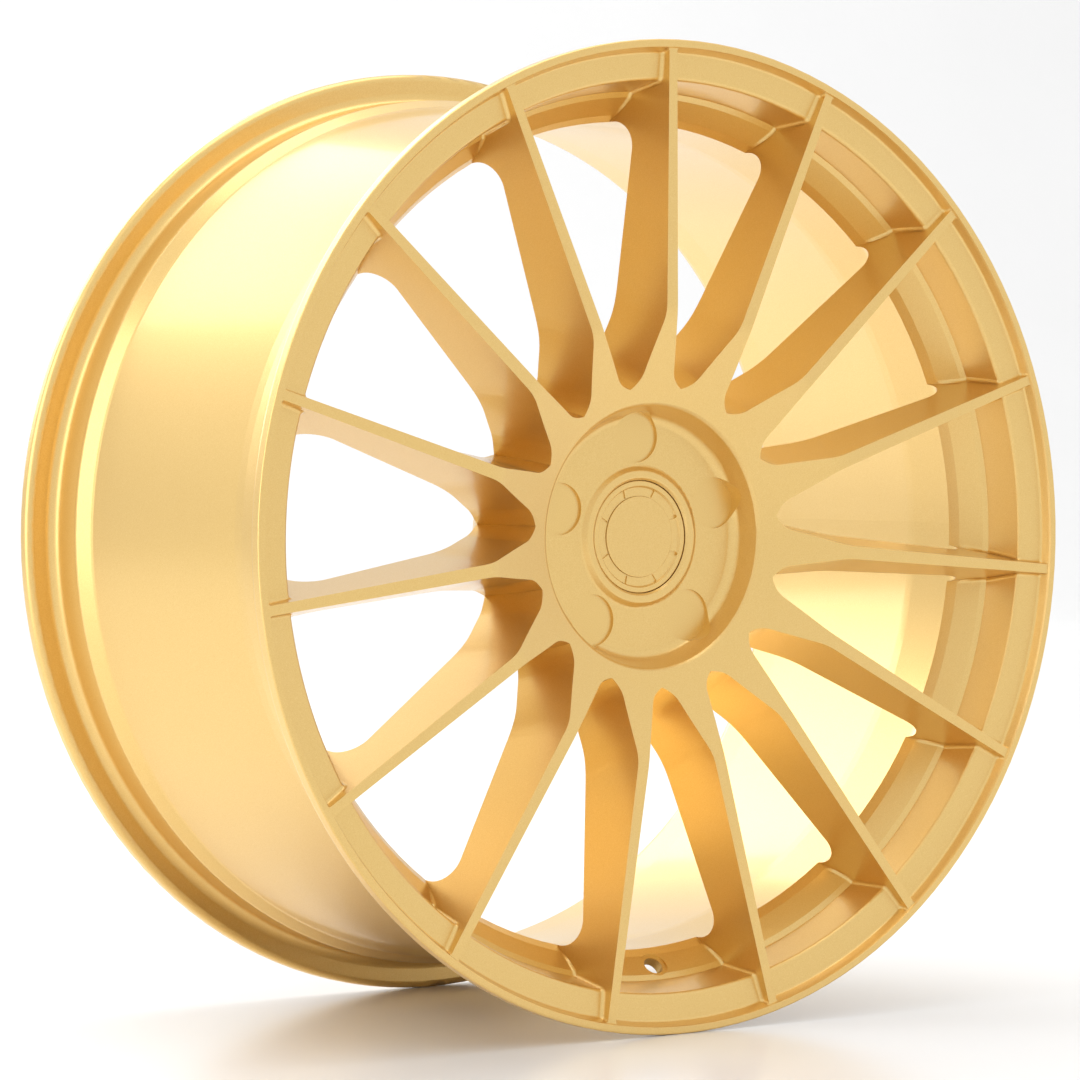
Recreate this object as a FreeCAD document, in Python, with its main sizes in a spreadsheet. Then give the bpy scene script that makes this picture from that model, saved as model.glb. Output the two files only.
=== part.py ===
"""Forged one-piece wheel, 20 x 9.5 inch, with its snap-in centre cap.

Frame: the wheel spins about +Y. The origin is the centre of the rim, halfway between its two
flanges. The outboard (street) side faces -Y and spoke number 0 points up, along +Z.
Depths are measured from the outboard face of the front flange towards +Y. All sizes are mm.
"""
import FreeCAD
import Part
import math
import os
import Sketcher

DOC = FreeCAD.newDocument("forged_wheel")
SHEET = DOC.addObject("Spreadsheet::Sheet", "dims")

# Driving dimensions first, then the sizes worked out from them. A name ending in _rad is a
# distance from the wheel axis, one ending in _depth is a distance behind the front face.
DIMENSIONS = [
    ("bead_seat_dia", "512.8"),
    ("rim_width", "241.3"),
    ("flange_height", "17.5"),
    ("flange_thick", "9.8"),
    ("wheel_offset", "35"),
    ("barrel_wall", "5"),
    ("spoke_count", "15"),
    ("lug_count", "5"),
    ("lug_circle_dia", "112"),
    ("lug_pocket_dia", "29"),
    ("hub_bore_dia", "72.6"),
    ("cap_dia", "63"),
    ("valve_hole_dia", "11.3"),
    ("draft_angle", "10"),
    ("front_depth", "0"),
    ("axis_rad", "0"),
    # rim, tyre side
    ("bead_rad", "=bead_seat_dia / 2"),
    ("outer_rad", "=bead_rad + flange_height"),
    ("half_width", "=rim_width / 2 + flange_thick"),
    ("overall_depth", "=2 * half_width"),
    ("flange_depth", "=flange_thick"),
    ("seat_width", "20"),
    ("seat_end_rad", "=bead_rad - seat_width * tan(5 deg)"),
    ("seat_end_depth", "=flange_depth + seat_width"),
    ("hump_rad", "=seat_end_rad + 1.9"),
    ("hump_out_depth", "=seat_end_depth + 2.5"),
    ("hump_in_depth", "=seat_end_depth + 5"),
    ("well_rad", "=bead_rad - 19.7"),
    ("well_out_depth", "48"),
    ("well_in_depth", "82"),
    ("barrel_end_rad", "=bead_rad - 4.6"),
    ("rear_flange_depth", "=overall_depth - flange_thick"),
    ("rear_seat_depth", "=rear_flange_depth - seat_width"),
    ("rear_hump_in_depth", "=rear_seat_depth - 2.5"),
    ("rear_hump_out_depth", "=rear_seat_depth - 5"),
    ("barrel_end_depth", "=rear_seat_depth - 15"),
    # rim, inside
    ("rear_lip_rad", "=outer_rad - 9"),
    ("rear_throat_rad", "=seat_end_rad - 5.5"),
    ("rear_throat_depth", "=overall_depth - 17"),
    ("barrel_inner_rad", "=barrel_end_rad - barrel_wall"),
    ("well_inner_rad", "=well_rad - barrel_wall"),
    # lip and the stepped wall inside it, between the spokes
    ("lip_rad", "=outer_rad - 4.3"),
    ("spoke_end_rad", "=outer_rad - 4.9"),
    ("spoke_end_depth", "1.2"),
    ("ledge_out_rad", "=outer_rad - 6.9"),
    ("ledge_out_depth", "6"),
    ("ledge_in_rad", "=outer_rad - 21.8"),
    ("ledge_in_depth", "7.8"),
    ("shelf_out_rad", "=outer_rad - 26.6"),
    ("shelf_out_depth", "30"),
    ("shelf_in_rad", "=outer_rad - 29.6"),
    ("shelf_in_depth", "31.8"),
    ("ramp_in_rad", "=outer_rad - 38.8"),
    ("ramp_in_depth", "42.2"),
    ("window_edge_depth", "47.5"),
    ("tool_out_rad", "=well_inner_rad - 3.4"),
    ("tool_out_depth", "=window_edge_depth + 5.4"),
    ("tool_in_rad", "60"),
    ("tool_in_depth", "105"),
    # disc: spokes and hub, front side
    ("spoke_half_width", "2.45"),
    ("knee_rad", "124"),
    ("knee_depth", "7"),
    ("crown_rad", "73.5"),
    ("crown_depth", "28.5"),
    ("pad_rad", "67.5"),
    ("pad_depth", "43.4"),
    ("collar_foot_rad", "39.8"),
    ("collar_out_rad", "36.8"),
    ("collar_in_rad", "33.2"),
    ("collar_depth", "40.2"),
    ("cap_bore_rad", "=cap_dia / 2 + 0.3"),
    ("cap_edge_depth", "41.8"),
    ("cap_seat_depth", "45.5"),
    ("clip_bore_rad", "28.5"),
    ("clip_back_depth", "58"),
    # disc, back side
    ("hub_bore_rad", "=hub_bore_dia / 2"),
    ("hub_bevel_rad", "=hub_bore_rad + 2"),
    ("hub_face_depth", "=half_width - wheel_offset"),
    ("hub_bevel_depth", "=hub_face_depth - 2"),
    ("hub_face_rad", "77"),
    ("hub_neck_rad", "81"),
    ("hub_neck_depth", "=hub_face_depth - 8"),
    ("disc_back_rad", "90"),
    ("disc_back_depth", "66"),
    ("spoke_root_rad", "126"),
    ("spoke_root_depth", "47"),
    ("spoke_tip_depth", "28"),
    # window outline, drawn in the front plane
    ("window_root_rad", "10.5"),
    ("window_root_centre", "86.5"),
    ("window_flare", "20"),
    ("window_flare_round", "90"),
    ("window_top", "=outer_rad + 12"),
    ("window_corner_round", "2.2"),
    ("ledge_foot", "1.5"),
    ("ramp_edge", "2.5"),
    ("lug_floor_depth", "45"),
    # centre cap
    ("cap_rad", "=cap_dia / 2"),
    ("cap_face_depth", "41.9"),
    ("cap_back_depth", "=cap_seat_depth - 0.1"),
    ("cap_rim_rad", "28.5"),
    ("cap_floor_rad", "=cap_rim_rad - 0.9"),
    ("cap_floor_depth", "=cap_face_depth + 1.1"),
    ("inlay_rad", "22.7"),
    ("inlay_pocket_rad", "=inlay_rad + 0.15"),
    ("inlay_face_depth", "=cap_face_depth + 0.3"),
    ("inlay_back_depth", "=inlay_face_depth + 1.5"),
    ("leg_out_rad", "=clip_bore_rad - 0.15"),
    ("leg_in_rad", "=leg_out_rad - 2"),
    ("leg_end_depth", "56.5"),
    ("leg_slot_width", "5"),
    ("leg_count", "8"),
    ("ring_groove_rad", "=leg_in_rad + 0.9"),
    ("ring_groove_top_depth", "=ring_depth - ring_wire_dia / 2 - 0.3"),
    ("ring_groove_end_depth", "=ring_depth + ring_wire_dia / 2 + 0.3"),
    ("ring_wire_dia", "1.8"),
    ("ring_depth", "52"),
    ("ring_mean_rad", "=ring_groove_rad - 0.3 - ring_wire_dia / 2"),
    ("ring_gap_angle", "14"),
    ("flute_count", "8"),
    ("flute_floor_depth", "=cap_floor_depth + 0.7"),
    ("flute_head_rad", "1.1"),
    ("flute_head_place_rad", "=cap_floor_rad - 0.4"),
    ("flute_tip_half_width", "0.35"),
    ("flute_tip_rad", "=inlay_rad + 0.6"),
    # slanted valve hole
    ("valve_lead", "12"),
    ("valve_reach", "18"),
    ("valve_seat_dia", "16"),
    ("valve_seat_sink", "1"),
]


def fill_sheet():
    for row, (name, value) in enumerate(DIMENSIONS, start=1):
        SHEET.set(f"A{row}", name)
        SHEET.set(f"B{row}", value)
        SHEET.setAlias(f"B{row}", name)
    DOC.recompute()


def dim(name):
    value = SHEET.get(name)
    return float(getattr(value, "Value", value))


def new_body(label):
    body = DOC.addObject("PartDesign::Body", label)
    body.Label = label
    return body


def origin_feature(body, role):
    for feature in body.Origin.OriginFeatures:
        if feature.Role == role:
            return feature
    raise ValueError(f"{body.Label} has no {role}")


def new_sketch(body, name, plane, shift=None):
    """A sketch on one of the body's origin planes; shift is an expression along its normal."""
    sketch = body.newObject("Sketcher::SketchObject", name)
    sketch.AttachmentSupport = [(origin_feature(body, plane), "")]
    sketch.MapMode = "FlatFace"
    if shift is not None:
        sketch.setExpression("AttachmentOffset.Base.z", shift)
    return sketch


def polygon(sketch, corners):
    """Closed outline of (radius name, depth name) corners, each one pinned to the sheet."""
    points = [FreeCAD.Vector(dim(rad), dim(depth) - dim("half_width"), 0) for rad, depth in corners]
    for index, point in enumerate(points):
        sketch.addGeometry(Part.LineSegment(point, points[(index + 1) % len(points)]))
    for index in range(len(points)):
        sketch.addConstraint(
            Sketcher.Constraint("Coincident", index, 2, (index + 1) % len(points), 1))
    for index, (rad, depth) in enumerate(corners):
        for kind, value, expression in (
                ("DistanceX", points[index].x, f"dims.{rad}"),
                ("DistanceY", points[index].y, f"dims.{depth} - dims.half_width")):
            number = sketch.addConstraint(
                Sketcher.Constraint(kind, -1, 1, index, 1, value))
            sketch.setExpression(f"Constraints[{number}]", expression)


def revolve(body, name, sketch):
    """Turn a half section once round the wheel axis."""
    feature = body.newObject("PartDesign::Revolution", name)
    feature.Profile = sketch
    feature.ReferenceAxis = (sketch, ["V_Axis"])
    feature.Angle = 360
    DOC.recompute()
    return feature


def near(value, target):
    return abs(value - target) < 0.02


def ring_edges(feature, corners):
    """Names of the full circles about the wheel axis at the given (radius, depth) corners."""
    wanted = [(dim(rad), dim(depth) - dim("half_width")) for rad, depth in corners]
    names = []
    for number, edge in enumerate(feature.Shape.Edges, start=1):
        if not isinstance(edge.Curve, Part.Circle):
            continue
        for rad, level in wanted:
            if near(edge.Curve.Radius, rad) and near(edge.Curve.Center.y, level):
                names.append(f"Edge{number}")
    if len(names) < len(wanted):
        raise ValueError(f"{feature.Label}: found {len(names)} of {len(wanted)} edges")
    return names


def fillet(body, name, edges, radius):
    base = body.Tip
    feature = body.newObject("PartDesign::Fillet", name)
    feature.Base = (base, edges)
    feature.Radius = radius
    DOC.recompute()
    return feature


def around_axis(body, name, feature, count):
    """Repeat one feature evenly about the wheel axis; count is the name of a sheet value."""
    pattern = body.newObject("PartDesign::PolarPattern", name)
    pattern.Originals = [feature]
    pattern.Axis = (origin_feature(body, "Y_Axis"), [""])
    pattern.Angle = 360
    pattern.setExpression("Occurrences", f"dims.{count}")
    body.Tip = pattern
    DOC.recompute()
    return pattern


# Half section of the forging before any window is cut, once round.
BLANK = [
    ("outer_rad", "front_depth"),
    ("outer_rad", "flange_depth"),
    ("bead_rad", "flange_depth"),
    ("seat_end_rad", "seat_end_depth"),
    ("hump_rad", "hump_out_depth"),
    ("hump_rad", "hump_in_depth"),
    ("well_rad", "well_out_depth"),
    ("well_rad", "well_in_depth"),
    ("barrel_end_rad", "barrel_end_depth"),
    ("hump_rad", "rear_hump_out_depth"),
    ("hump_rad", "rear_hump_in_depth"),
    ("seat_end_rad", "rear_seat_depth"),
    ("bead_rad", "rear_flange_depth"),
    ("outer_rad", "rear_flange_depth"),
    ("outer_rad", "overall_depth"),
    ("rear_lip_rad", "overall_depth"),
    ("rear_throat_rad", "rear_throat_depth"),
    ("barrel_inner_rad", "barrel_end_depth"),
    ("well_inner_rad", "well_in_depth"),
    ("well_inner_rad", "spoke_tip_depth"),
    ("spoke_root_rad", "spoke_root_depth"),
    ("disc_back_rad", "disc_back_depth"),
    ("hub_neck_rad", "hub_neck_depth"),
    ("hub_face_rad", "hub_face_depth"),
    ("hub_bevel_rad", "hub_face_depth"),
    ("hub_bore_rad", "hub_bevel_depth"),
    ("hub_bore_rad", "clip_back_depth"),
    ("clip_bore_rad", "clip_back_depth"),
    ("clip_bore_rad", "cap_seat_depth"),
    ("cap_bore_rad", "cap_seat_depth"),
    ("cap_bore_rad", "cap_edge_depth"),
    ("collar_in_rad", "collar_depth"),
    ("collar_out_rad", "collar_depth"),
    ("collar_foot_rad", "pad_depth"),
    ("pad_rad", "pad_depth"),
    ("crown_rad", "crown_depth"),
    ("knee_rad", "knee_depth"),
    ("spoke_end_rad", "spoke_end_depth"),
    ("lip_rad", "front_depth"),
]

# (fillet name, radius, corners of BLANK it rounds)
BLANK_ROUNDS = [
    ("flange_root_rounds", 6.5, [("bead_rad", "flange_depth"), ("bead_rad", "rear_flange_depth")]),
    ("flange_tip_rounds", 4.2, [("outer_rad", "flange_depth"), ("outer_rad", "rear_flange_depth")]),
    ("front_edge_round", 1.2, [("outer_rad", "front_depth")]),
    ("rear_edge_round", 3, [("outer_rad", "overall_depth")]),
    ("well_rounds", 8, [("well_rad", "well_out_depth")]),
    ("barrel_rounds", 60, [("well_rad", "well_in_depth"), ("well_inner_rad", "well_in_depth")]),
    ("barrel_end_round", 6, [("barrel_end_rad", "barrel_end_depth")]),
    ("hump_rounds", 2.2, [("hump_rad", "hump_in_depth"), ("hump_rad", "rear_hump_out_depth")]),
    ("rear_lip_rounds", 3, [("rear_lip_rad", "overall_depth")]),
    ("rear_throat_rounds", 12, [("rear_throat_rad", "rear_throat_depth")]),
    ("spoke_tip_round", 14, [("well_inner_rad", "spoke_tip_depth")]),
    ("spoke_root_round", 40, [("spoke_root_rad", "spoke_root_depth")]),
    ("disc_back_round", 12, [("disc_back_rad", "disc_back_depth")]),
    ("hub_neck_rounds", 2, [("hub_neck_rad", "hub_neck_depth"), ("hub_face_rad", "hub_face_depth")]),
    ("knee_round", 30, [("knee_rad", "knee_depth")]),
    ("crown_round", 3.5, [("crown_rad", "crown_depth")]),
    ("pad_round", 6, [("pad_rad", "pad_depth")]),
    ("collar_foot_round", 2.2, [("collar_foot_rad", "pad_depth")]),
    ("collar_rounds", 1.2, [("collar_out_rad", "collar_depth"), ("collar_in_rad", "collar_depth")]),
]

# Half section of everything that lies in front of the stepped rim wall and inside it.
WINDOW_RING = [
    ("spoke_end_rad", "front_depth"),
    ("spoke_end_rad", "spoke_end_depth"),
    ("ledge_out_rad", "ledge_out_depth"),
    ("ledge_in_rad", "ledge_in_depth"),
    ("shelf_out_rad", "shelf_out_depth"),
    ("shelf_in_rad", "shelf_in_depth"),
    ("ramp_in_rad", "ramp_in_depth"),
    ("well_inner_rad", "window_edge_depth"),
    ("tool_out_rad", "tool_out_depth"),
    ("tool_out_rad", "tool_in_depth"),
    ("tool_in_rad", "tool_in_depth"),
    ("tool_in_rad", "front_depth"),
]


WINDOW_ROUNDS = [
    ("ledge_edge_round", 2.5, [("ledge_in_rad", "ledge_in_depth")]),
]


def make_blank(wheel):
    section = new_sketch(wheel, "blank_section", "XY_Plane")
    polygon(section, BLANK)
    DOC.recompute()
    revolve(wheel, "blank", section)
    for name, radius, corners in BLANK_ROUNDS:
        fillet(wheel, name, ring_edges(wheel.Tip, corners), radius)


def window_outline(sketch):
    """One window, centred on the sketch's vertical axis: round root, two flares, two long sides.

    The long sides run parallel to the two neighbouring spokes; the top is left open past the
    rim, because the ring section closes the window there.
    """
    half_pitch = math.pi / dim("spoke_count")
    flare = math.radians(dim("window_flare"))
    root_rad = dim("window_root_rad")
    blend_rad = dim("window_flare_round")
    centre = FreeCAD.Vector(0, dim("window_root_centre"), 0)
    top = dim("window_top")
    offset = dim("spoke_half_width") / math.cos(half_pitch)
    touch = centre + FreeCAD.Vector(root_rad * math.cos(flare), -root_rad * math.sin(flare), 0)
    knee_z = ((touch.y * math.tan(flare) - touch.x - offset)
              / (math.tan(flare) - math.tan(half_pitch)))
    knee = FreeCAD.Vector(knee_z * math.tan(half_pitch) - offset, knee_z, 0)
    corner = FreeCAD.Vector(top * math.tan(half_pitch) - offset, top, 0)
    reach = blend_rad * math.tan((flare - half_pitch) / 2)
    flare_end = knee - FreeCAD.Vector(math.sin(flare), math.cos(flare), 0) * reach
    side_start = knee + FreeCAD.Vector(math.sin(half_pitch), math.cos(half_pitch), 0) * reach
    blend_centre = flare_end + FreeCAD.Vector(-math.cos(flare), math.sin(flare), 0) * blend_rad

    def mirrored(point):
        return FreeCAD.Vector(-point.x, point.y, 0)

    def arc(middle, radius, start, end):
        circle = Part.Circle(middle, FreeCAD.Vector(0, 0, 1), radius)
        return sketch.addGeometry(Part.ArcOfCircle(circle, start, end))

    def line(start, end):
        return sketch.addGeometry(Part.LineSegment(start, end))

    def add(*rule):
        return sketch.addConstraint(Sketcher.Constraint(*rule))

    def bind(number, expression):
        sketch.setExpression(f"Constraints[{number}]", expression)

    root = arc(centre, root_rad, math.pi + flare, 2 * math.pi - flare)
    right_flare = line(touch, flare_end)
    right_blend = arc(blend_centre, blend_rad, -flare, -half_pitch)
    right_side = line(side_start, corner)
    roof = line(corner, mirrored(corner))
    left_side = line(mirrored(corner), mirrored(side_start))
    left_blend = arc(mirrored(blend_centre), blend_rad, math.pi + half_pitch, math.pi + flare)
    left_flare = line(mirrored(flare_end), mirrored(touch))

    add("Tangent", root, 2, right_flare, 1)
    add("Tangent", right_flare, 2, right_blend, 1)
    add("Tangent", right_blend, 2, right_side, 1)
    add("Coincident", right_side, 2, roof, 1)
    add("Coincident", roof, 2, left_side, 1)
    add("Tangent", left_side, 2, left_blend, 1)
    add("Tangent", left_blend, 2, left_flare, 1)
    add("Tangent", left_flare, 2, root, 1)
    add("PointOnObject", root, 3, -2)
    add("Equal", right_blend, left_blend)
    add("Symmetric", right_side, 2, left_side, 1, -2)
    bind(add("DistanceY", -1, 1, root, 3, centre.y), "dims.window_root_centre")
    bind(add("Radius", root, root_rad), "dims.window_root_rad")
    bind(add("Radius", right_blend, blend_rad), "dims.window_flare_round")
    bind(add("Angle", right_flare, 1, -2, 1, flare), "dims.window_flare * 1 deg")
    bind(add("Angle", right_side, 1, -2, 1, half_pitch), "180 deg / dims.spoke_count")
    bind(add("Distance", -1, 1, right_side, dim("spoke_half_width")), "dims.spoke_half_width")
    bind(add("DistanceY", -1, 1, roof, 1, top), "dims.window_top")


def side_edges(feature, first_depth, last_depth):
    """Edges where a window's two flat sides meet the stepped rim wall, between two depths."""
    low = dim(first_depth) - dim("half_width")
    high = dim(last_depth) - dim("half_width")
    names = []
    for number, edge in enumerate(feature.Shape.Edges, start=1):
        middle = edge.CenterOfMass
        if math.hypot(middle.x, middle.z) < dim("tool_out_rad"):
            continue
        ring_shaped = isinstance(edge.Curve, Part.Circle) and abs(edge.Curve.Axis.y) > 0.99
        if low < middle.y < high and not ring_shaped:
            names.append(f"Edge{number}")
    return names


def make_window_tool():
    """The space of one window, then copied round the wheel."""
    ring = new_body("window_ring")
    section = new_sketch(ring, "window_section", "XY_Plane")
    polygon(section, WINDOW_RING)
    DOC.recompute()
    revolve(ring, "window_ring_turn", section)
    for name, radius, corners in WINDOW_ROUNDS:
        fillet(ring, name, ring_edges(ring.Tip, corners), radius)

    tool = new_body("window_tool")
    tool.AllowCompound = True
    outline = new_sketch(tool, "window_outline", "XZ_Plane", "dims.half_width")
    outline.setExpression("AttachmentOffset.Rotation.Angle", "-180 deg / dims.spoke_count")
    window_outline(outline)
    DOC.recompute()
    prism = tool.newObject("PartDesign::Pad", "window_prism")
    prism.Profile = outline
    prism.Reversed = True
    prism.setExpression("Length", "dims.tool_in_depth")
    prism.setExpression("TaperAngle", "-dims.draft_angle")
    DOC.recompute()
    common = tool.newObject("PartDesign::Boolean", "window_in_rim")
    common.Type = "Common"
    common.setObjects([ring])
    DOC.recompute()
    tool.Tip = common
    fillet(tool, "window_side_rounds",
           side_edges(tool.Tip, "ledge_out_depth", "ramp_in_depth"), dim("window_corner_round"))
    fillet(tool, "ledge_foot_round",
           ring_edges(tool.Tip, [("ledge_out_rad", "ledge_out_depth")]), dim("ledge_foot"))
    fillet(tool, "ramp_round",
           ring_edges(tool.Tip, [("ramp_in_rad", "ramp_in_depth")]), dim("ramp_edge"))
    around = tool.newObject("PartDesign::PolarPattern", "window_copies")
    around.TransformMode = "Whole shape"
    around.Axis = (origin_feature(tool, "Y_Axis"), [""])
    around.Angle = 360
    around.setExpression("Occurrences", "dims.spoke_count")
    tool.Tip = around
    DOC.recompute()
    return tool


def cut_windows(wheel, tool):
    windows = wheel.newObject("PartDesign::Boolean", "windows")
    windows.Type = "Cut"
    windows.setObjects([tool])
    wheel.Tip = windows
    DOC.recompute()


def cut_lug_pockets(wheel):
    """Flat-bottomed blank pockets where the bolt holes go, in line with every third spoke."""
    floor = new_sketch(wheel, "lug_pocket_floor", "XZ_Plane",
                       "dims.half_width - dims.lug_floor_depth")
    pitch_rad = dim("lug_circle_dia") / 2
    circle = Part.Circle(FreeCAD.Vector(0, pitch_rad, 0), FreeCAD.Vector(0, 0, 1),
                         dim("lug_pocket_dia") / 2)
    floor.addGeometry(circle)
    floor.addConstraint(Sketcher.Constraint("PointOnObject", 0, 3, -2))
    height = floor.addConstraint(Sketcher.Constraint("DistanceY", -1, 1, 0, 3, pitch_rad))
    floor.setExpression(f"Constraints[{height}]", "dims.lug_circle_dia / 2")
    size = floor.addConstraint(Sketcher.Constraint("Diameter", 0, dim("lug_pocket_dia")))
    floor.setExpression(f"Constraints[{size}]", "dims.lug_pocket_dia")
    DOC.recompute()
    pocket = wheel.newObject("PartDesign::Pocket", "lug_pocket")
    pocket.Profile = floor
    pocket.Reversed = True
    pocket.setExpression("Length", "dims.lug_floor_depth")
    DOC.recompute()
    around_axis(wheel, "lug_pockets", pocket, "lug_count")


def cut_valve_hole(wheel):
    """Slanted hole through the ramp between two spokes, square to the ramp, opposite spoke 0."""
    ramp_rad = (dim("shelf_in_rad") + dim("ramp_in_rad")) / 2
    ramp_depth = (dim("shelf_in_depth") + dim("ramp_in_depth")) / 2
    along_rad = dim("ramp_in_rad") - dim("shelf_in_rad")
    along_depth = dim("ramp_in_depth") - dim("shelf_in_depth")
    # The hole leaves the ramp outwards and inboard; at -Z the outward direction is -Z.
    outward = FreeCAD.Vector(0, -along_rad, -along_depth)
    outward.normalize()
    start = FreeCAD.Vector(0, ramp_depth - dim("half_width"), -ramp_rad)
    turn = FreeCAD.Rotation(FreeCAD.Vector(0, 0, 1), outward)
    hole = wheel.newObject("PartDesign::SubtractiveCylinder", "valve_hole")
    hole.MapMode = "Deactivated"
    hole.Placement = FreeCAD.Placement(start - outward * dim("valve_lead"), turn)
    hole.setExpression("Radius", "dims.valve_hole_dia / 2")
    hole.setExpression("Height", "dims.valve_lead + dims.valve_reach")
    DOC.recompute()
    mouth = wheel.newObject("PartDesign::SubtractiveCylinder", "valve_seat")
    mouth.MapMode = "Deactivated"
    mouth.Placement = FreeCAD.Placement(start - outward * dim("valve_lead"), turn)
    mouth.setExpression("Radius", "dims.valve_seat_dia / 2")
    mouth.setExpression("Height", "dims.valve_lead + dims.valve_seat_sink")
    DOC.recompute()


CAP_SECTION = [
    ("axis_rad", "inlay_back_depth"),
    ("inlay_pocket_rad", "inlay_back_depth"),
    ("inlay_pocket_rad", "cap_floor_depth"),
    ("cap_floor_rad", "cap_floor_depth"),
    ("cap_rim_rad", "cap_face_depth"),
    ("cap_rad", "cap_face_depth"),
    ("cap_rad", "cap_back_depth"),
    ("leg_out_rad", "cap_back_depth"),
    ("leg_out_rad", "leg_end_depth"),
    ("leg_in_rad", "leg_end_depth"),
    ("leg_in_rad", "ring_groove_end_depth"),
    ("ring_groove_rad", "ring_groove_end_depth"),
    ("ring_groove_rad", "ring_groove_top_depth"),
    ("leg_in_rad", "ring_groove_top_depth"),
    ("leg_in_rad", "cap_back_depth"),
    ("axis_rad", "cap_back_depth"),
]

INLAY_SECTION = [
    ("axis_rad", "inlay_face_depth"),
    ("inlay_rad", "inlay_face_depth"),
    ("inlay_rad", "inlay_back_depth"),
    ("axis_rad", "inlay_back_depth"),
]


def close_outline(sketch, points):
    """A closed run of straight lines through points, its corners joined."""
    for index, point in enumerate(points):
        sketch.addGeometry(Part.LineSegment(point, points[(index + 1) % len(points)]))
    for index in range(len(points)):
        sketch.addConstraint(
            Sketcher.Constraint("Coincident", index, 2, (index + 1) % len(points), 1))


def pin_corner(sketch, line, across, up):
    """Fix the start of one line to two sheet expressions, measured from the sketch origin."""
    start = sketch.Geometry[line].StartPoint
    for kind, value, expression in (("DistanceX", start.x, across), ("DistanceY", start.y, up)):
        number = sketch.addConstraint(Sketcher.Constraint(kind, -1, 1, line, 1, value))
        sketch.setExpression(f"Constraints[{number}]", expression)


def make_cap():
    """Moulded cap: stepped face with eight teardrop flutes, and a skirt cut into sprung legs."""
    cap = new_body("cap_body")
    section = new_sketch(cap, "cap_section", "XY_Plane")
    polygon(section, CAP_SECTION)
    DOC.recompute()
    revolve(cap, "cap_turn", section)
    fillet(cap, "cap_edge_round", ring_edges(cap.Tip, [("cap_rad", "cap_face_depth")]), 0.8)

    slot = new_sketch(cap, "leg_slot_outline", "XZ_Plane", "dims.half_width - dims.leg_end_depth")
    half_slot = dim("leg_slot_width") / 2
    near_side = dim("leg_in_rad") - 3
    far_side = dim("leg_out_rad") + 3
    close_outline(slot, [
        FreeCAD.Vector(-half_slot, near_side, 0),
        FreeCAD.Vector(half_slot, near_side, 0),
        FreeCAD.Vector(half_slot, far_side, 0),
        FreeCAD.Vector(-half_slot, far_side, 0),
    ])
    half = "dims.leg_slot_width / 2"
    pin_corner(slot, 0, f"-{half}", "dims.leg_in_rad - 3")
    pin_corner(slot, 1, half, "dims.leg_in_rad - 3")
    pin_corner(slot, 2, half, "dims.leg_out_rad + 3")
    pin_corner(slot, 3, f"-{half}", "dims.leg_out_rad + 3")
    DOC.recompute()
    leg_slot = cap.newObject("PartDesign::Pocket", "leg_slot")
    leg_slot.Profile = slot
    leg_slot.setExpression("Length", "dims.leg_end_depth - dims.cap_back_depth")
    leg_slot.Reversed = False
    DOC.recompute()
    around_axis(cap, "leg_slots", leg_slot, "leg_count")

    flute = new_sketch(cap, "flute_outline", "XZ_Plane", "dims.half_width - dims.flute_floor_depth")
    flute.setExpression("AttachmentOffset.Rotation.Angle", "180 deg / dims.flute_count")
    flute_outline(flute)
    DOC.recompute()
    cut = cap.newObject("PartDesign::Pocket", "flute")
    cut.Profile = flute
    cut.setExpression("Length", "dims.flute_floor_depth - dims.cap_face_depth + 1")
    cut.Reversed = True
    DOC.recompute()
    around_axis(cap, "flutes", cut, "flute_count")
    return cap


def flute_outline(sketch):
    """Teardrop: a round head near the cap's rim, tapering to a thin tail beside the inlay."""
    head = FreeCAD.Vector(0, dim("flute_head_place_rad"), 0)
    head_rad = dim("flute_head_rad")
    tail_half = dim("flute_tip_half_width")
    tail = dim("flute_tip_rad")
    lean = math.asin((head_rad - tail_half) / (head.y - tail))
    touch = head + FreeCAD.Vector(head_rad * math.cos(lean), -head_rad * math.sin(lean), 0)
    foot = FreeCAD.Vector(tail_half, tail, 0)
    circle = Part.Circle(head, FreeCAD.Vector(0, 0, 1), head_rad)
    cap_arc = sketch.addGeometry(Part.ArcOfCircle(circle, -lean, math.pi + lean))
    left = sketch.addGeometry(Part.LineSegment(
        FreeCAD.Vector(-touch.x, touch.y, 0), FreeCAD.Vector(-foot.x, foot.y, 0)))
    end = sketch.addGeometry(Part.LineSegment(FreeCAD.Vector(-foot.x, foot.y, 0), foot))
    right = sketch.addGeometry(Part.LineSegment(foot, touch))

    def add(*rule):
        return sketch.addConstraint(Sketcher.Constraint(*rule))

    def bind(number, expression):
        sketch.setExpression(f"Constraints[{number}]", expression)

    add("Tangent", cap_arc, 2, left, 1)
    add("Coincident", left, 2, end, 1)
    add("Coincident", end, 2, right, 1)
    add("Tangent", right, 2, cap_arc, 1)
    add("PointOnObject", cap_arc, 3, -2)
    add("Symmetric", end, 1, end, 2, -2)
    bind(add("Radius", cap_arc, head_rad), "dims.flute_head_rad")
    bind(add("DistanceY", -1, 1, cap_arc, 3, head.y), "dims.flute_head_place_rad")
    bind(add("DistanceX", -1, 1, end, 2, tail_half), "dims.flute_tip_half_width")
    bind(add("DistanceY", -1, 1, end, 2, tail), "dims.flute_tip_rad")


def make_inlay():
    """Plain round disc let into the middle of the cap."""
    inlay = new_body("cap_inlay")
    section = new_sketch(inlay, "inlay_section", "XY_Plane")
    polygon(section, INLAY_SECTION)
    DOC.recompute()
    revolve(inlay, "inlay_turn", section)
    fillet(inlay, "inlay_edge_round",
           ring_edges(inlay.Tip, [("inlay_rad", "inlay_face_depth")]), 0.4)
    return inlay


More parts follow.
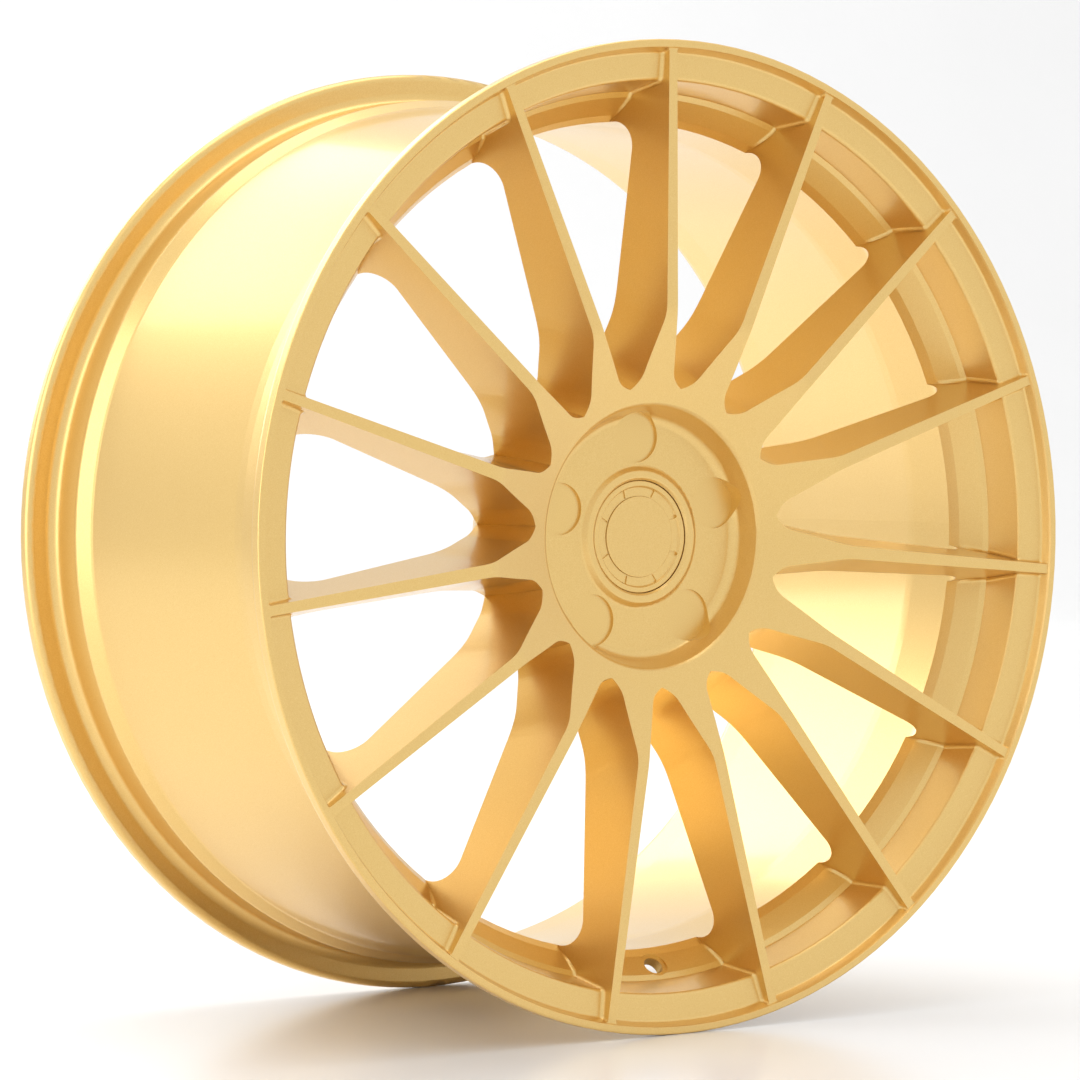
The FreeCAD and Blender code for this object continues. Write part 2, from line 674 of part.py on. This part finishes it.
def make_clip_ring():
    """Open ring of spring wire inside the legs, its gap at the top."""
    ring = new_body("cap_clip_ring")
    section = new_sketch(ring, "wire_section", "XY_Plane")
    middle = FreeCAD.Vector(dim("ring_mean_rad"), dim("ring_depth") - dim("half_width"), 0)
    section.addGeometry(Part.Circle(middle, FreeCAD.Vector(0, 0, 1), dim("ring_wire_dia") / 2))
    for kind, value, expression in (
            ("DistanceX", middle.x, "dims.ring_mean_rad"),
            ("DistanceY", middle.y, "dims.ring_depth - dims.half_width")):
        number = section.addConstraint(Sketcher.Constraint(kind, -1, 1, 0, 3, value))
        section.setExpression(f"Constraints[{number}]", expression)
    size = section.addConstraint(Sketcher.Constraint("Diameter", 0, dim("ring_wire_dia")))
    section.setExpression(f"Constraints[{size}]", "dims.ring_wire_dia")
    DOC.recompute()
    turn = revolve(ring, "wire_turn", section)
    turn.setExpression("Angle", "360 - dims.ring_gap_angle")
    DOC.recompute()
    return ring


def check_document():
    for item in DOC.Objects:
        if "Invalid" in item.State or "Error" in item.State:
            raise RuntimeError(f"{item.Name} did not rebuild: {item.State}")


def export(bodies):
    os.makedirs("parts", exist_ok=True)
    for body in bodies:
        shape = body.Shape
        if shape.isNull() or not shape.isValid() or len(shape.Solids) != 1:
            raise RuntimeError(f"{body.Label} is not one valid solid")
        shape.exportStep(f"parts/{body.Label}.step")
        print(body.Label, round(shape.Volume), "mm3")


fill_sheet()
wheel = new_body("wheel")
make_blank(wheel)
cut_windows(wheel, make_window_tool())
cut_lug_pockets(wheel)
cut_valve_hole(wheel)
parts = [wheel, make_cap(), make_inlay(), make_clip_ring()]
check_document()
export(parts)
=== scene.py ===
import math

import bpy
from mathutils import Matrix, Vector


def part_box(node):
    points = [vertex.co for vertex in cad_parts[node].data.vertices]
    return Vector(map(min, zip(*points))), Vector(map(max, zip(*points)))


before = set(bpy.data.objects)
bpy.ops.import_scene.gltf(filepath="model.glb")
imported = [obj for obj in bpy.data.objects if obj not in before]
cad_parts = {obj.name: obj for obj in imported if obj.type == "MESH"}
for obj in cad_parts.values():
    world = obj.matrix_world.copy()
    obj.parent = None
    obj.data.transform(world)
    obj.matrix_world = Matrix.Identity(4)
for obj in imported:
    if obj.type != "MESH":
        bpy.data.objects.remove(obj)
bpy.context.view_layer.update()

# ---------------------------------------------------------------- sizes, worked out from the frame

WHEEL_LOW, WHEEL_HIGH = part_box("wheel")
OUTER_RADIUS = (WHEEL_HIGH[2] - WHEEL_LOW[2]) / 2
FRONT_Y = WHEEL_LOW[1]

# The wheel stands turned a little about its axle, so the camera and the floor are turned to match.
WHEEL_TURN = math.radians(-1.53)
STAGE_TURN = Matrix.Rotation(-WHEEL_TURN, 4, "Y")

# ---------------------------------------------------------------- colours, linear

GOLD = (0.80, 0.545, 0.190, 1)
GOLD_DEEP = (0.74, 0.480, 0.150, 1)
GOLD_PALE = (0.86, 0.620, 0.250, 1)
STEEL = (0.52, 0.52, 0.53, 1)
STEEL_DARK = (0.36, 0.36, 0.37, 1)
FLOOR_WHITE = (0.90, 0.90, 0.90, 1)
SHADED_FLOOR = tuple(0.985 * channel for channel in FLOOR_WHITE[:3]) + (1,)

# ---------------------------------------------------------------- surface detail, metres

PEEL_PER_METRE = 260
PEEL_DEPTH = 0.000016
FLAKE_DEPTH = 0.000004
FLAKE_ROUGHNESS = 0.05
GRAIN_PER_METRE = 2600
GRAIN_DEPTH = 0.000010
FLOOR_CLOUDS_PER_METRE = 3

# ---------------------------------------------------------------- lights

# name, place in metres, width, height, watts, aim
SOFT_BOXES = (
    ("left_side", (-2.7, 0.4, 0.9), 1.8, 2.6, 24, (0, 0, 0)),
    ("behind", (-0.3, 3.0, 1.5), 2.6, 2.2, 42, (0, 0, 0)),
    ("overhead", (0.2, 0.3, 2.6), 2.2, 2.2, 22, (0, 0, 0)),
    ("backdrop", (2.6, 3.4, 2.6), 2.6, 1.0, 30, (4.6, 6.5, 0.8)),
)

# ---------------------------------------------------------------- camera

CAMERA_AZIMUTH = math.radians(-35.18)
CAMERA_ELEVATION = math.radians(0.94)
CAMERA_DISTANCE = 8.718 * OUTER_RADIUS
CAMERA_PAN = -0.0024
CAMERA_TILT = 0.0013
SENSOR_MM = 36
LENS_MM = 138.1
VIEW_LIMIT = 60
# The lens aims at the axle, halfway between the wheel's two widest edges.
AIM_Y = FRONT_Y + 0.4715 * OUTER_RADIUS


class Shader:
    """A node tree with one Principled shader, and short calls to add to it."""

    def __init__(self, name):
        self.material = bpy.data.materials.new(name)
        self.material.use_nodes = True
        self.tree = self.material.node_tree
        self.principled = self.tree.nodes["Principled BSDF"]
        self.place = self.add("ShaderNodeTexCoord").outputs["Object"]

    def add(self, kind):
        return self.tree.nodes.new(kind)

    def link(self, source, target):
        self.tree.links.new(source, target)

    def set(self, **values):
        for key, value in values.items():
            self.principled.inputs[key.replace("_", " ")].default_value = value

    def noise(self, cells_per_metre, detail):
        node = self.add("ShaderNodeTexNoise")
        node.inputs["Scale"].default_value = cells_per_metre
        node.inputs["Detail"].default_value = detail
        self.link(self.place, node.inputs["Vector"])
        return node.outputs["Fac"]

    def flakes(self, cells_per_metre):
        node = self.add("ShaderNodeTexVoronoi")
        node.inputs["Scale"].default_value = cells_per_metre
        self.link(self.place, node.inputs["Vector"])
        return node.outputs["Color"]

    def ramp(self, source, *stops):
        node = self.add("ShaderNodeValToRGB")
        for stop, (position, colour) in zip(node.color_ramp.elements, (stops[0], stops[-1])):
            stop.position = position
            stop.color = colour
        for position, colour in stops[1:-1]:
            node.color_ramp.elements.new(position).color = colour
        self.link(source, node.inputs["Fac"])
        return node.outputs["Color"]

    def range(self, source, low, high):
        node = self.add("ShaderNodeMapRange")
        node.inputs["To Min"].default_value = low
        node.inputs["To Max"].default_value = high
        self.link(source, node.inputs["Value"])
        return node.outputs["Result"]

    def bump(self, height, depth):
        node = self.add("ShaderNodeBump")
        node.inputs["Distance"].default_value = depth
        self.link(height, node.inputs["Height"])
        return node.outputs["Normal"]


def metallic_paint(name, roughness, flake_size):
    """Gold base coat with fine aluminium flake, under a satin clear coat with a little orange peel."""
    paint = Shader(name)
    flake = paint.flakes(1 / flake_size)
    mottle = paint.noise(1 / (2 * flake_size), 1)
    shade = paint.ramp(mottle, (0.10, GOLD_DEEP), (0.50, GOLD), (0.90, GOLD_PALE))
    paint.link(shade, paint.principled.inputs["Base Color"])
    spread = paint.range(flake, roughness - FLAKE_ROUGHNESS, roughness + FLAKE_ROUGHNESS)
    paint.link(spread, paint.principled.inputs["Roughness"])
    peel = paint.noise(PEEL_PER_METRE, 2)
    paint.link(paint.bump(flake, FLAKE_DEPTH), paint.principled.inputs["Normal"])
    paint.link(paint.bump(peel, PEEL_DEPTH), paint.principled.inputs["Coat Normal"])
    paint.set(Metallic=0.90, Coat_Weight=0.45, Coat_Roughness=0.10, Coat_IOR=1.5)
    return paint.material


def drawn_wire(name):
    """Spring steel with a fine grain."""
    steel = Shader(name)
    grain = steel.noise(GRAIN_PER_METRE, 6)
    shade = steel.ramp(grain, (0.35, STEEL_DARK), (0.65, STEEL))
    steel.link(shade, steel.principled.inputs["Base Color"])
    steel.link(steel.range(grain, 0.22, 0.40), steel.principled.inputs["Roughness"])
    steel.link(steel.bump(grain, GRAIN_DEPTH), steel.principled.inputs["Normal"])
    steel.set(Metallic=1.0)
    return steel.material


def white_sheet(name):
    """Nearly even glossy white, with very faint clouds."""
    sheet = Shader(name)
    clouds = sheet.noise(FLOOR_CLOUDS_PER_METRE, 4)
    shade = sheet.ramp(clouds, (0.3, SHADED_FLOOR), (0.7, FLOOR_WHITE))
    sheet.link(shade, sheet.principled.inputs["Base Color"])
    sheet.set(Roughness=0.22)
    return sheet.material


FINISHES = {
    "wheel": metallic_paint("gold_satin_paint", 0.34, 0.00024),
    "cap_body": metallic_paint("gold_cap_paint", 0.38, 0.00022),
    "cap_inlay": metallic_paint("gold_inlay_paint", 0.40, 0.00022),
    "cap_clip_ring": drawn_wire("drawn_spring_steel"),
}


def finish_nodes():
    for name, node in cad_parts.items():
        node.data.materials.clear()
        node.data.materials.append(FINISHES[name])


# ---------------------------------------------------------------- stage

def staged(obj):
    obj.matrix_world = STAGE_TURN @ obj.matrix_world


def make_floor():
    """A pale glossy sheet that the wheel stands on. It curves up behind as a seamless backdrop."""
    half_width = 9.0
    near = -7.0
    far = 4.5
    curve = 2.0
    wall = 5.0
    steps = 24
    floor_z = -OUTER_RADIUS
    profile = [(near, floor_z)]
    for i in range(steps + 1):
        turn = math.pi / 2 * i / steps
        profile.append((far + curve * math.sin(turn), floor_z + curve * (1 - math.cos(turn))))
    profile.append((far + curve, floor_z + curve + wall))
    points = [(side * half_width, y, z) for y, z in profile for side in (-1, 1)]
    faces = [(2 * i, 2 * i + 1, 2 * i + 3, 2 * i + 2) for i in range(len(profile) - 1)]
    mesh = bpy.data.meshes.new("floor")
    mesh.from_pydata(points, [], faces)
    mesh.polygons.foreach_set("use_smooth", [True] * len(faces))
    floor = bpy.data.objects.new("floor", mesh)
    bpy.context.scene.collection.objects.link(floor)
    mesh.materials.append(white_sheet("white_floor"))
    staged(floor)


def soft_box(name, place, width, height, power, aim):
    data = bpy.data.lights.new(name, "AREA")
    data.shape = "RECTANGLE"
    data.size = width
    data.size_y = height
    data.energy = power
    light = bpy.data.objects.new(name, data)
    light.location = place
    light.rotation_euler = (Vector(aim) - Vector(place)).to_track_quat("-Z", "Y").to_euler()
    bpy.context.scene.collection.objects.link(light)


def make_light():
    world = bpy.data.worlds.new("studio")
    world.use_nodes = True
    world.node_tree.nodes["Background"].inputs["Color"].default_value = (1, 1, 1, 1)
    world.node_tree.nodes["Background"].inputs["Strength"].default_value = 1.0
    bpy.context.scene.world = world
    for box in SOFT_BOXES:
        soft_box(*box)


def make_camera():
    """A long lens, nearly level, to the left of the wheel's face."""
    back = Vector((
        math.sin(CAMERA_AZIMUTH) * math.cos(CAMERA_ELEVATION),
        -math.cos(CAMERA_AZIMUTH) * math.cos(CAMERA_ELEVATION),
        math.sin(CAMERA_ELEVATION),
    ))
    right = Vector((0, 0, 1)).cross(back).normalized()
    up = back.cross(right)
    axes = Matrix((right, up, back)).transposed()
    aim = axes @ Matrix.Rotation(-CAMERA_PAN, 3, "Y") @ Matrix.Rotation(-CAMERA_TILT, 3, "X")
    data = bpy.data.cameras.new("camera")
    data.sensor_width = SENSOR_MM
    data.lens = LENS_MM
    data.clip_end = VIEW_LIMIT
    camera = bpy.data.objects.new("camera", data)
    place = Matrix.Translation(back * CAMERA_DISTANCE) @ aim.to_4x4()
    camera.matrix_world = Matrix.Translation((0, AIM_Y, 0)) @ STAGE_TURN @ place
    bpy.context.scene.collection.objects.link(camera)
    bpy.context.scene.camera = camera


finish_nodes()
make_floor()
make_light()
make_camera()
bpy.context.scene.view_settings.view_transform = "Standard"
